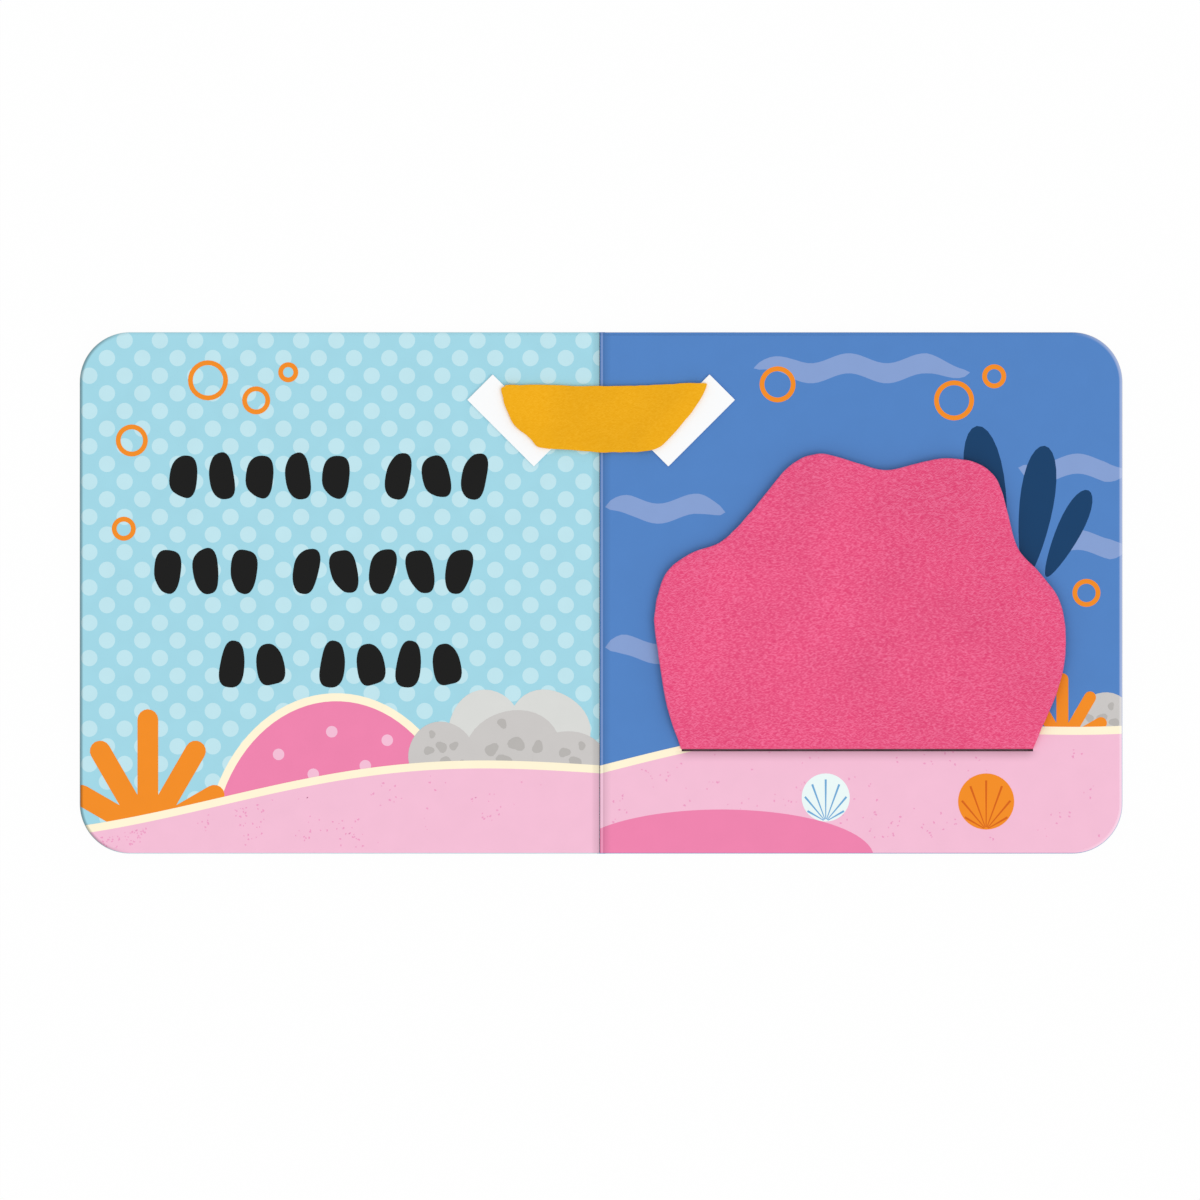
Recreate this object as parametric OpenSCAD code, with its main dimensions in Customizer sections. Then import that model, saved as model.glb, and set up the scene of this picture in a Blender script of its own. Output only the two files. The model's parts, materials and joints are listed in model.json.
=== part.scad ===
// Small square board book with felt pieces, lying open at its middle spread.
// X runs across the two pages, Y up the page, Z up from the table.
// The origin is on the table, under the middle of the gutter.

/* [Pages] */
// Width of one page, from the gutter to its outer edge
page_w = 130; // [122:1:180]
// Height of the pages
page_h = 130; // [118:1:180]
// Radius of the four outer corners
corner_r = 12.5; // [4:0.5:25]
// Thickness of one board leaf
leaf_t = 1.8; // [1.2:0.1:3]
// Inner leaves on each side of the opening
leaves = 2; // [1:1:4]
// Thickness of each cover board
cover_t = 1.8; // [1.2:0.1:3]
// Bevel that the cutting die presses into the edge of every board
edge_bevel = 0.25; // [0.1:0.05:0.4]

/* [Spine] */
// Distance of each half's spine edge from the gutter
spine_gap = 1; // [0.8:0.1:2]
// Thickness of the paper that wraps the spine
wrap_t = 0.4; // [0.2:0.05:0.6]
// Thickness of the printed sheet that reaches the gutter
sheet_t = 0.6; // [0.3:0.1:1]
// Depth of the crease pressed along the gutter
crease_d = 0.3; // [0.1:0.05:0.4]

/* [Felt flap] */
// Thickness of the felt
felt_t = 1.2; // [0.8:0.1:2]
// Width of the flap at its widest
flap_w = 102.4; // [80:0.2:106]
// Height of the flap above its slot
flap_h = 73.6; // [50:0.2:90]
// Distance of the slot's near end from the gutter
slot_x = 20.1; // [16.1:0.5:22.1]
// Length of the slot
slot_l = 87.6; // [70.6:0.5:90.6]
// Height of the slot's upper edge over the foot of the page
slot_h = 27; // [21:0.5:35]
// Open gap left in front of the flap, in the slot
slot_gap = 0.6; // [0.3:0.1:1.5]
// Depth of the slot
slot_d = 1.5; // [0.8:0.1:1.7]
// Thickness of the pressed tongue that is glued into the slot
tongue_t = 0.9; // [0.6:0.1:1.5]

/* [Felt band] */
// Length of the band along its top edge
band_w = 50.9; // [40:0.1:60]
// Height of the band
band_h = 17.1; // [12:0.1:22]
// Distance of the band's upper edge from the head of the page
band_drop = 12.8; // [9:0.1:13]
// Distance of the band's right end from the gutter
band_reach = 26.1; // [24:0.1:30]

/* [Tabs] */
// Width of each white tab
tab_w = 9; // [6:0.5:12]
// Length of each white tab
tab_l = 23.5; // [16:0.5:26]
// Thickness of each white tab
tab_t = 0.5; // [0.2:0.1:0.7]
// Distance of a tab's middle from the gutter
tab_x = 21.9; // [20:0.1:24]
// Distance of a tab's middle from the head of the page
tab_drop = 22; // [20:0.5:24]
// Slant of the tabs
tab_slant = 45; // [35:1:55]

/* [Print] */
// Thickness of one layer of ink, drawn thicker than it is
ink_t = 0.02; // [0.01:0.01:0.04]
// Diameter of the dots on the left page
dot_d = 4.1; // [2:0.1:6]
// Spacing of the dots
dot_pitch = 8.8; // [7:0.1:12]
// Height of the printed sand at the gutter
sand_h = 20; // [8:1:24]
// How much higher the sand is at the right page's outer edge
sand_rise = 14; // [0:1:20]
// How much lower the sand is at the left page's outer edge
sand_fall = 11; // [0:1:14]
// Height of the sand's soft waves
dune_h = 4.5; // [0:0.5:6]
// Length of one such wave
dune_l = 190; // [100:10:300]
// Width of the cream line along the sand and the mounds
cream_w = 2; // [1:0.25:4]
// Distance of the left mound's middle from the gutter
mound_x = 66; // [50:1:100]
// Radius of the left mound
mound_r = 31; // [20:1:38]
// Height of the left mound's top over the foot of the page
mound_h = 38; // [24:1:38]
// Distance of the right mound's middle from the gutter
low_mound_x = 30; // [20:1:50]
// Radius of the right mound
low_mound_r = 38; // [20:1:50]
// Height of the right mound's top over the foot of the page
low_mound_h = 11; // [6:1:14]
// Width of one printed wave
wave_w = 5; // [2:0.5:7]
// Length of one crest of a printed wave
wave_l = 19; // [12:1:40]
// Height of the dark pebbles that stand in rows on the left page
pebble_h = 11; // [7:0.5:13]
// Width of the dark pebbles
pebble_w = 6.5; // [3:0.5:7]
// Width of one printed ring of a bubble
bubble_line = 1.2; // [0.6:0.2:2]

/* [Hidden] */

$fn = 48;
block_t = leaves * leaf_t;
page_top = cover_t + block_t;
ink_layers = 5;
// Felt and tabs lie on the top layer of ink
seat = page_top + ink_layers * ink_t;
half_h = page_h / 2;
foot = -half_h;
slot_y = foot + slot_h;
tab_y = half_h - tab_drop;
// How far cuts run past what they cut
spill = 1;
curve_steps = 6;
tab_play = 0.1;
tongue_play = 0.1;
// Half of the angle that the felt keeps open between the pages when the book is shut
shut_angle = 7.5;
// The ink starts where the shut pages leave room for it
ink_margin = ink_layers * ink_t / tan(shut_angle - 1);

PALE_BLUE = "#A2D9E7";
DOT_BLUE = "#BFE4ED";
SEA_BLUE = "#5384C7";
WAVE_BLUE = "#859FD1";
SAND = "#F3BDD5";
CREAM = "#FFF4D6";
ROSE = "#EE82AD";
STONE = "#C9C6C4";
PALE_STONE = "#D8D9D6";
DARK = "#2B2B33";
NAVY = "#133F68";
ORANGE = "#F28C1E";

// Outline of the flap, in hundredths of its width and height, from foot to foot
FLAP_OUTLINE = [[6.5, 0], [3, 14.5], [0.5, 36], [0, 46], [2.5, 59], [8.5, 66], [16.5, 70.5],
                [23.5, 80.5], [30.5, 92.5], [35, 98], [41, 100], [49, 97], [56.5, 94.5],
                [66, 97.5], [72, 98.5], [79, 96.5], [83.5, 90.5], [86, 79], [88.5, 67.5],
                [93.5, 60], [98.5, 50], [100, 37.5], [98.5, 22], [92, 0]];
// Outline of the band, in hundredths of its length and height, hand cut at its corners
BAND_OUTLINE = [[0, 90], [1.5, 95], [6, 97.5], [44, 96], [68, 96.5], [92, 100], [98.5, 100],
                [100, 94], [94, 62], [88, 41], [80, 14.5], [73, 2.5], [58, 0], [47, 0],
                [30, 4], [19, 7], [14, 19], [6, 41], [1.5, 68]];
// Grey stones on the sand, each from the gutter and the foot, with its radius
LEFT_STONES = [[22, 24, 12], [8, 22, 9], [40, 25, 8]];
RIGHT_STONES = [[125, 32, 8]];
// Paler stones behind them
PALE_STONES = [[29, 31, 9.5], [13, 31, 10]];
// Rising bubbles, each from the gutter and the middle of the page, with its radius
LEFT_BUBBLES = [[98, 53, 5], [86, 48, 3.5], [78, 55, 2.5], [117, 38, 4], [119, 16, 3]];
RIGHT_BUBBLES = [[44, 52, 4.5], [88, 48, 5], [98, 54, 3], [121, 0, 3.5]];
// Orange corals: distance from the gutter, height over the foot, and size
LEFT_CORAL = [113, 5, 31];
RIGHT_CORAL = [115, 27, 18];
// Round shells on the right page, each from the gutter and the foot, with its radius
BLUE_SHELL = [[56, 14, 6]];
ORANGE_SHELL = [[96, 13, 7]];
// Waves on the right page: start, end and height over the middle of the page
WAVES = [[38, 92, 56], [1, 31, 21], [104, 131, 31], [1, 24, -14], [112, 131, 12]];
// Dark pebbles: for each row its height over the middle of the page, its start and its words
PEBBLE_ROWS = [[29, 104, [5, 3]], [5.5, 108, [3, 5]], [-18, 92, [2, 4]]];
pebble_step = 9.5;
word_gap = 6;
// Dark blades of weed behind the flap: foot, lean and length
BLADES = [[99, -8, 38], [106, 8, 33], [111, 26, 24]];
// The blades stand this high over the middle of the page
blade_foot = 4;
// Lean of every other pebble, one way and the other
PEBBLE_LEAN = [8, -10];

// One point of a smooth curve through four given points, t from 0 to 1 between b and c
function between(a, b, c, d, t) =
    0.5 * (2 * b + (c - a) * t + (2 * a - 5 * b + 4 * c - d) * t * t
           + (3 * b - a - 3 * c + d) * t * t * t);

// Smooth open curve through the points, ends included
function open_curve(p) = concat(
    [for (i = [0 : len(p) - 2], s = [0 : curve_steps - 1])
        between(p[max(i - 1, 0)], p[i], p[i + 1], p[min(i + 2, len(p) - 1)], s / curve_steps)],
    [p[len(p) - 1]]);

// Smooth closed curve through the points
function closed_curve(p) = let (n = len(p))
    [for (i = [0 : n - 1], s = [0 : curve_steps - 1])
        between(p[(i + n - 1) % n], p[i], p[(i + 1) % n], p[(i + 2) % n], s / curve_steps)];

// Points given in hundredths, brought to a real width and height
function sized(p, w, h) = [for (q = p) [q[0] * w / 100, q[1] * h / 100]];

// Top line of the sand, x measured from the gutter, climbing towards the page's outer edge
function sand_line(x, climb) =
    foot + sand_h + climb * x / page_w + dune_h * sin(x * 360 / dune_l);

// Cut edge of a stack of boards, from the corner's centre outwards, each board bevelled
function edge_profile(count, t) = concat(
    [[0, 0]],
    [for (i = [0 : count - 1], q = [[corner_r - edge_bevel, 0], [corner_r, edge_bevel],
                                    [corner_r, t - edge_bevel], [corner_r - edge_bevel, t]])
        [q[0], q[1] + i * t]],
    [[0, count * t]]);

// Stack of boards from the gutter to the outer edge, with its two outer corners rounded
module boards(count, t) {
    far = page_w - corner_r;
    side = half_h - corner_r;
    translate([0, -side, 0]) cube([far, 2 * side, count * t]);
    for (s = [-1, 1])
        translate([0, s * side, 0]) mirror([0, s < 0 ? 1 : 0, 0])
            rotate([90, 0, 90]) linear_extrude(far) polygon(edge_profile(count, t));
    translate([far, side, 0]) rotate([90, 0, 0])
        linear_extrude(2 * side) polygon(edge_profile(count, t));
    translate([far, side, 0]) rotate_extrude(angle = 90) polygon(edge_profile(count, t));
    translate([far, -side, 0]) rotate([0, 0, -90])
        rotate_extrude(angle = 90) polygon(edge_profile(count, t));
}

// Flat area of a page that can carry ink
module page_area() {
    far = page_w - corner_r;
    side = half_h - corner_r;
    r = corner_r - edge_bevel;
    translate([ink_margin, -side - r]) square([far - ink_margin, 2 * (side + r)]);
    translate([ink_margin, -side]) square([far + r - ink_margin, 2 * side]);
    for (s = [-1, 1])
        translate([far, s * side]) circle(r);
}

// One field of ink on a page, in the given layer, kept inside the page
module ink(layer, tint) {
    color(tint) translate([0, 0, block_t])
        linear_extrude(layer * ink_t) intersection() {
            page_area();
            children();
        }
}

// Ground under a top line raised by lift
module ground(climb, lift) {
    polygon(concat([for (x = [0 : 4 : page_w + spill]) [x, sand_line(x, climb) + lift]],
                   [[page_w + spill, foot - spill], [0, foot - spill]]));
}

// Mound, a dome that stands on the foot of the page
module mound(x, reach, rise) {
    polygon([for (a = [0 : 6 : 180])
        [x + reach * cos(a), foot - spill + (rise + spill) * sin(a)]]);
}

// Round stones or shells
module stones(list) {
    for (q = list)
        translate([q[0], foot + q[1]]) circle(q[2]);
}

// Long shape with round ends, from the origin upwards
module stadium(wide, long) {
    r = wide / 2;
    polygon(concat([for (a = [0 : 15 : 180]) [r * cos(a), long - r + r * sin(a)]],
                   [for (a = [180 : 15 : 360]) [r * cos(a), r + r * sin(a)]]));
}

// Coral, five branches that fan out from one foot, at x and y, y from the foot of the page
module coral(x, y, high) {
    branch = high / 6;
    translate([x, foot + y])
        for (a = [-60 : 30 : 60])
            rotate(-a) stadium(branch, high * (1 - abs(a) / 200));
}

// Rings of rising bubbles
module bubbles(list) {
    for (q = list)
        translate([q[0], q[1]]) difference() {
            circle(q[2]);
            circle(q[2] - bubble_line);
        }
}

// Rows of dark pebbles, in groups like words
module pebble_rows() {
    for (row = PEBBLE_ROWS)
        for (word = [0 : len(row[2]) - 1])
            for (i = [0 : row[2][word] - 1]) {
                before = word == 0 ? 0 : row[2][0] * pebble_step + word_gap;
                translate([row[1] - before - i * pebble_step, row[0] - pebble_h / 2])
                    rotate(PEBBLE_LEAN[i % 2]) stadium(pebble_w, pebble_h);
            }
}

// Dots in staggered rows, down to the sand
module dots() {
    lowest = sand_h - sand_fall - dune_h;
    rows = floor((page_h - lowest) / dot_pitch * 2) - 1;
    for (j = [0 : rows], i = [0 : ceil(page_w / dot_pitch)])
        translate([dot_pitch * (i + (j % 2 == 0 ? 0.5 : 0)),
                   half_h - (dot_d + j * dot_pitch) / 2])
            circle(d = dot_d, $fn = 24);
}

// One printed wave, thin at both ends
module wave(start, end, y) {
    steps = ceil((end - start) / wave_l * 8);
    middle = [for (i = [0 : steps]) let (x = start + (end - start) * i / steps)
        [x, y + wave_w / 4 * sin(x * 360 / wave_l)]];
    half = [for (i = [0 : steps]) wave_w / 2 * min(1, 4 * i / steps, 4 * (steps - i) / steps)];
    polygon(concat([for (i = [0 : steps]) middle[i] + [0, half[i]]],
                   [for (i = [steps - 1 : -1 : 1]) middle[i] - [0, half[i]]]));
}

// Blade of weed, a tall narrow leaf
module blade(lean, long) {
    wide = long / 4;
    rotate(-lean) polygon([for (a = [0 : 15 : 345])
        [wide / 2 * sin(a) * (1 - 0.3 * cos(a)), long / 2 * (1 - cos(a))]]);
}

// Slot in the right page, where the flap is glued
module slot_cut() {
    translate([slot_x, slot_y - tongue_t - slot_gap, block_t - slot_d])
        cube([slot_l, tongue_t + slot_gap, slot_d + spill]);
}

// Room for the spine wrap under the printed sheet, and the crease along the gutter
module spine_cut() {
    translate([-spill, -page_h, -spill])
        cube([spill + spine_gap, 2 * page_h, spill + block_t - sheet_t]);
    translate([0, page_h, block_t]) rotate([90, 0, 0]) linear_extrude(2 * page_h)
        polygon([[-spill, spill], [crease_d + spill, spill], [0, -crease_d], [-spill, -crease_d]]);
}

module cover_board(tint) {
    color(tint) difference() {
        boards(1, cover_t);
        translate([-spill, -page_h, -spill]) cube([spill + spine_gap, 2 * page_h, cover_t + 2 * spill]);
    }
}

module front_cover() {
    mirror([1, 0, 0]) cover_board(SEA_BLUE);
}

module back_cover() {
    cover_board(SEA_BLUE);
}

module left_leaves() {
    mirror([1, 0, 0]) translate([0, 0, cover_t]) {
        color(PALE_BLUE) difference() {
            boards(leaves, leaf_t);
            spine_cut();
        }
        ink(1, DOT_BLUE) dots();
        ink(1, CREAM) mound(mound_x, mound_r + cream_w, mound_h + cream_w);
        ink(2, ROSE) mound(mound_x, mound_r, mound_h);
        ink(2, ORANGE) bubbles(LEFT_BUBBLES);
        ink(2, DARK) pebble_rows();
        ink(2, PALE_STONE) stones(PALE_STONES);
        ink(3, STONE) stones(LEFT_STONES);
        ink(3, ORANGE) coral(LEFT_CORAL[0], LEFT_CORAL[1], LEFT_CORAL[2]);
        ink(4, CREAM) ground(-sand_fall, cream_w);
        ink(5, SAND) ground(-sand_fall, 0);
    }
}

module right_leaves() {
    translate([0, 0, cover_t]) difference() {
        union() {
            color(SEA_BLUE) difference() {
                boards(leaves, leaf_t);
                spine_cut();
            }
            for (w = WAVES)
                ink(1, WAVE_BLUE) wave(w[0], w[1], w[2]);
            for (b = BLADES)
                ink(2, NAVY) translate([b[0], blade_foot]) blade(b[1], b[2]);
            ink(2, ORANGE) bubbles(RIGHT_BUBBLES);
            ink(3, STONE) stones(RIGHT_STONES);
            ink(3, ORANGE) coral(RIGHT_CORAL[0], RIGHT_CORAL[1], RIGHT_CORAL[2]);
            ink(3, CREAM) ground(sand_rise, cream_w);
            ink(4, SAND) ground(sand_rise, 0);
            ink(5, ROSE) mound(low_mound_x, low_mound_r, low_mound_h);
            ink(5, PALE_BLUE) stones(BLUE_SHELL);
            ink(5, ORANGE) stones(ORANGE_SHELL);
        }
        slot_cut();
    }
}

module spine_wrap() {
    arch = cover_t + block_t - sheet_t - spine_gap;
    color(SEA_BLUE) translate([0, half_h, 0]) rotate([90, 0, 0]) linear_extrude(page_h) {
        difference() {
            translate([0, arch]) circle(spine_gap);
            translate([0, arch]) circle(spine_gap - wrap_t);
            translate([-spine_gap - spill, arch - 2 * spine_gap])
                square([2 * (spine_gap + spill), 2 * spine_gap]);
        }
        for (s = [-1, 1])
            translate([s * (spine_gap - wrap_t / 2) - wrap_t / 2, 0]) square([wrap_t, arch]);
    }
}

module felt_flap() {
    base = slot_y - tongue_t;
    outline = sized(FLAP_OUTLINE, flap_w, flap_h);
    foot_start = outline[0][0];
    foot_end = outline[len(outline) - 1][0];
    near = slot_x + (slot_l - foot_start - foot_end) / 2;
    tongue_x = max(slot_x, near + foot_start) + tongue_play;
    tongue_end = min(slot_x + slot_l, near + foot_end) - tongue_play;
    color("#EC5586") {
        translate([near, base, seat]) linear_extrude(felt_t) polygon(open_curve(outline));
        translate([tongue_x, base, page_top - slot_d + tongue_play])
            cube([tongue_end - tongue_x, tongue_t, seat - page_top + slot_d]);
    }
}

// Flat shape of a tab on the right page
module tab_shape(play) {
    translate([tab_x, tab_y]) rotate(tab_slant)
        square([tab_l + 2 * play, tab_w + 2 * play], center = true);
}

module tab() {
    color("#FBFBFB") translate([0, 0, seat]) linear_extrude(tab_t) tab_shape(0);
}

module right_tab() {
    tab();
}

module left_tab() {
    mirror([1, 0, 0]) tab();
}

module felt_band() {
    color("#EFAE1E") difference() {
        translate([band_reach - band_w, half_h - band_drop - band_h, seat])
            linear_extrude(felt_t) polygon(closed_curve(sized(BAND_OUTLINE, band_w, band_h)));
        for (side = [0, 1])
            mirror([side, 0, 0]) translate([0, 0, seat - spill])
                linear_extrude(tab_t + spill) tab_shape(tab_play);
    }
}

front_cover();
left_leaves();
spine_wrap();
back_cover();
right_leaves();
felt_flap();
felt_band();
left_tab();
right_tab();
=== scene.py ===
"""A small square board book with felt pieces, lying open at its middle spread."""
import json
import math
import random
import bmesh
import bpy
from mathutils import Matrix, Vector, noise


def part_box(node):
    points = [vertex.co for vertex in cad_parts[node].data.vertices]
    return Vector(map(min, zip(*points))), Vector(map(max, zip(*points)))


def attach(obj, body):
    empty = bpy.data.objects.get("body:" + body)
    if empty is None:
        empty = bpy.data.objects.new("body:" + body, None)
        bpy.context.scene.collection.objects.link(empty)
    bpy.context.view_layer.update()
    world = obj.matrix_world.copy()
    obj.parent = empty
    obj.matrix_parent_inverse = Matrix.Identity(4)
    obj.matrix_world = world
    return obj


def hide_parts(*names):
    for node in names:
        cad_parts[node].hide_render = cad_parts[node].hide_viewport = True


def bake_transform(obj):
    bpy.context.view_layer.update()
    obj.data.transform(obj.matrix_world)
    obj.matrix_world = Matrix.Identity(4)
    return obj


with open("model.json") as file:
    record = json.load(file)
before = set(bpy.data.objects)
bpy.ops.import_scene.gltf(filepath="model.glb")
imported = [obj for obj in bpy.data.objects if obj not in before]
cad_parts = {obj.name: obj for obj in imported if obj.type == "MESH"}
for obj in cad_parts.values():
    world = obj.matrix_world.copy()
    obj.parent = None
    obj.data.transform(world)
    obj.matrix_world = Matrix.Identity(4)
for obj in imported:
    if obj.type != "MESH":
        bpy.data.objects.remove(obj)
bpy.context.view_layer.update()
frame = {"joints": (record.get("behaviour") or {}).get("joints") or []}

# The book lies on a white table and is seen straight from above, without perspective.
# The picture takes in as much of the table as the photograph does.
MM = 0.001
PHOTO_SIDE = 1200
PIXELS_PER_MM = 4.011
MIDDLE_PX = (601.1, 592.9)
EYE_HEIGHT = 0.8
scene = bpy.context.scene
scene.view_settings.view_transform = "Standard"
lens = bpy.data.cameras.new("eye")
lens.type = "ORTHO"
lens.ortho_scale = PHOTO_SIDE / PIXELS_PER_MM * MM
eye = bpy.data.objects.new("eye", lens)
scene.collection.objects.link(eye)
eye.location = (
    (PHOTO_SIDE / 2 - MIDDLE_PX[0]) / PIXELS_PER_MM * MM,
    (MIDDLE_PX[1] - PHOTO_SIDE / 2) / PIXELS_PER_MM * MM,
    EYE_HEIGHT,
)
scene.camera = eye

# One broad lamp from the right and the near side, and even light from all round.
# Together they show a colour about as it is written.
SKY_LEVEL = 0.87
LAMP_LEVEL = 0.58
LAMP_BREADTH = math.radians(40)
LAMP_TURN = (math.radians(35), 0, math.radians(58))
sky = bpy.data.worlds.new("sky")
scene.world = sky
sky.use_nodes = True
sky_nodes, sky_links = sky.node_tree.nodes, sky.node_tree.links
sky_nodes["Background"].inputs["Color"].default_value = (1, 1, 1, 1)


def seen_rays(nodes, links):
    """One where the camera looks, straight or by way of a mirror or a glass, and else nothing."""
    path = nodes.new("ShaderNodeLightPath")
    total = path.outputs["Is Camera Ray"]
    for ray in ("Is Glossy Ray", "Is Transmission Ray"):
        either = nodes.new("ShaderNodeMath")
        either.operation = "MAXIMUM"
        links.new(total, either.inputs[0])
        links.new(path.outputs[ray], either.inputs[1])
        total = either.outputs["Value"]
    return total


level = sky_nodes.new("ShaderNodeMix")
level.inputs["A"].default_value = SKY_LEVEL
level.inputs["B"].default_value = 1.0
sky_links.new(seen_rays(sky_nodes, sky_links), level.inputs["Factor"])
sky_links.new(level.outputs["Result"], sky_nodes["Background"].inputs["Strength"])
lamp = bpy.data.lights.new("lamp", "SUN")
lamp.energy = LAMP_LEVEL
lamp.angle = LAMP_BREADTH
lamp_object = bpy.data.objects.new("lamp", lamp)
lamp_object.rotation_euler = LAMP_TURN
scene.collection.objects.link(lamp_object)

# The table is a plain pale sheet: the camera sees it white, with a trace of the book's shadow.
TABLE_SIDE = 3.0
TABLE_Z = -0.1 * MM
TABLE_WHITE = 0.97
TABLE_TONE = 0.86
bm = bmesh.new()
made = bmesh.ops.create_grid(bm, x_segments=1, y_segments=1, size=TABLE_SIDE / 2)["verts"]
bmesh.ops.translate(bm, vec=(0, 0, TABLE_Z), verts=made)
table_mesh = bpy.data.meshes.new("table")
bm.to_mesh(table_mesh)
bm.free()
table = bpy.data.objects.new("table", table_mesh)
scene.collection.objects.link(table)
paint = bpy.data.materials.new("table")
paint.use_nodes = True
nodes, links = paint.node_tree.nodes, paint.node_tree.links
nodes.remove(nodes["Principled BSDF"])
matt = nodes.new("ShaderNodeBsdfDiffuse")
matt.inputs["Color"].default_value = (TABLE_TONE, TABLE_TONE, TABLE_TONE, 1)
white = nodes.new("ShaderNodeEmission")
share = nodes.new("ShaderNodeMath")
share.operation = "MULTIPLY"
share.inputs[1].default_value = TABLE_WHITE
mix = nodes.new("ShaderNodeMixShader")
links.new(seen_rays(nodes, links), share.inputs[0])
links.new(share.outputs["Value"], mix.inputs["Fac"])
links.new(matt.outputs["BSDF"], mix.inputs[1])
links.new(white.outputs["Emission"], mix.inputs[2])
links.new(mix.outputs["Shader"], nodes["Material Output"].inputs["Surface"])
table_mesh.materials.append(paint)

# Boards: each half is a cover board and two inner leaves of die-cut board, pasted together.
# They are printed and coated, with two punched corners and rounded edges. The tones along the fold,
# the rims and the slot are painted shade and light, set by measure.
fold = Vector(frame["joints"][0]["pos_m"])
page_top = fold.z
cover_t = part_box("back_cover")[1].z
leaf_count = 2
leaf_t = (page_top - cover_t) / leaf_count
page_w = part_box("back_cover")[1].x
half_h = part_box("back_cover")[1].y
spine_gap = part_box("back_cover")[0].x
CORNER_R = 12.5 * MM
EDGE_ROLL = 0.9 * MM
SEAM_ROLL = 0.35 * MM
GUTTER_ROLL = 0.1 * MM
ROLL_STEPS = 5
CORNER_STEPS = 24
SHEET_T = 0.6 * MM
GUTTER_REACH = {"left": 0.43 * MM, "right": -0.3 * MM}
CREASE_DIP = 0.06 * MM
CREASE_SPREAD = 1.2 * MM
CREASE_CUTS = [x * MM for x in (0.8, 1.2, 1.7, 2.3)]
CREASE_WIDE = 3 * MM
# Painted shade on both sides of the fold, darkest in the crease: grey tones by mm across the fold.
CREASE_SHADE = [
    (-2.4, 1.0), (-1.6, 0.87), (-1.0, 0.83), (-0.6, 0.72), (-0.3, 0.72), (0.0, 0.9),
    (0.15, 1.0), (0.32, 1.0), (0.5, 0.81), (0.75, 0.77), (1.0, 0.86), (1.3, 0.88), (1.8, 0.94),
    (2.5, 1.0),
]
# A painted highlight: a pale strip on the right page's edge along the fold, by mm across it.
FOLD_HIGHLIGHT = [(-0.1, 0.0), (0.12, 0.16), (0.32, 0.16), (0.5, 0.0)]
# Painted shade on the left page's outer rim, by the rim value from -1 at the edge to 0 inside.
RIM_SHADE = [(-1.0, 0.42), (-0.7, 0.47), (-0.4, 0.63), (-0.15, 0.88), (0.0, 1.0)]
# A painted highlight on the right page's outer rim, by the rim value from 0 inside to 1 at the edge.
RIM_HIGHLIGHT = [(0.0, 0.0), (0.3, 0.2), (0.6, 0.3), (1.0, 0.36)]
SLOT = {"x": 20.1 * MM, "length": 87.6 * MM, "y": -38 * MM, "width": 1.5 * MM, "deep": 1.5 * MM}
# Painted shadow on the page just below the slot, by mm up the page; the next list fades it out at the
# slot's ends.
SLOT_SHADOW = [
    (-42.1, 0.0), (-41.4, 0.06), (-40.6, 0.17), (-40.0, 0.26), (-39.6, 0.32), (-39.4, 0.32),
    (-39.3, 0.0),
]
SLOT_SHADOW_ENDS = [(18.6, 0.0), (21.6, 1.0), (106.2, 1.0), (109.2, 0.0)]
# Colours of the painted highlights on the fold and on the right rim.
FOLD_LIGHT, RIM_LIGHT = "#F0E6F6", "#FBF8FF"
INK_ROUGH, INK_SHINE = 0.42, 0.1
COAT_WEIGHT, COAT_ROUGH = 0.1, 0.22
PATCH_SCALE, PATCH_DARK, PATCH_PALE = 160, 0.98, 1.005
GRAIN_SCALE, GRAIN_STRENGTH, GRAIN_DEPTH = 2600, 0.12, 0.03 * MM
PULP_ROUGH, PULP_SHINE = 0.85, 0.15
PULP_SCALE, PULP_STRETCH = 900, (6, 6, 0.25)
PULP_STRENGTH, PULP_DEPTH = 0.4, 0.06 * MM
FACES_UP = 0.35
TINY = 1e-6


def linear(hex_colour):
    """A colour written as on a web page, in the renderer's linear values."""
    parts = [int(hex_colour[i:i + 2], 16) / 255 for i in (1, 3, 5)]
    return (*[((c + 0.055) / 1.055) ** 2.4 if c > 0.04045 else c / 12.92 for c in parts], 1)


def graph(name, roughness, specular):
    """A new material, its nodes, its links and its shader."""
    material = bpy.data.materials.new(name)
    material.use_nodes = True
    tree = material.node_tree
    shader = tree.nodes["Principled BSDF"]
    shader.inputs["Roughness"].default_value = roughness
    shader.inputs["Specular IOR Level"].default_value = specular
    return material, tree.nodes, tree.links, shader


def grain(nodes, links, scale, detail=2.0, stretch=(1, 1, 1), turn=0.0, bend=None):
    """Noise on the object's own coordinates, scale in lumps per metre, with its output."""
    place = nodes.new("ShaderNodeTexCoord")
    fit = nodes.new("ShaderNodeMapping")
    fit.vector_type = "TEXTURE"
    fit.inputs["Scale"].default_value = stretch
    fit.inputs["Rotation"].default_value = (0, 0, turn)
    lumps = nodes.new("ShaderNodeTexNoise")
    lumps.inputs["Scale"].default_value = scale
    lumps.inputs["Detail"].default_value = detail
    if bend is None:
        links.new(place.outputs["Object"], fit.inputs["Vector"])
    else:
        links.new(bend, fit.inputs["Vector"])
    links.new(fit.outputs["Vector"], lumps.inputs["Vector"])
    return lumps.outputs["Fac"]


def ramp(nodes, links, value, stops):
    """Colours along a value: stops are (place, colour)."""
    colours = nodes.new("ShaderNodeValToRGB")
    bar = colours.color_ramp.elements
    while len(bar) < len(stops):
        bar.new(0.5)
    for spot, (place, colour) in zip(bar, stops):
        spot.position = place
        spot.color = colour
    links.new(value, colours.inputs["Fac"])
    return colours.outputs["Color"]


def relief(nodes, links, shader, height, strength, depth):
    """Bump from a height."""
    bump = nodes.new("ShaderNodeBump")
    bump.inputs["Strength"].default_value = strength
    bump.inputs["Distance"].default_value = depth
    links.new(height, bump.inputs["Height"])
    links.new(bump.outputs["Normal"], shader.inputs["Normal"])


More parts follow.
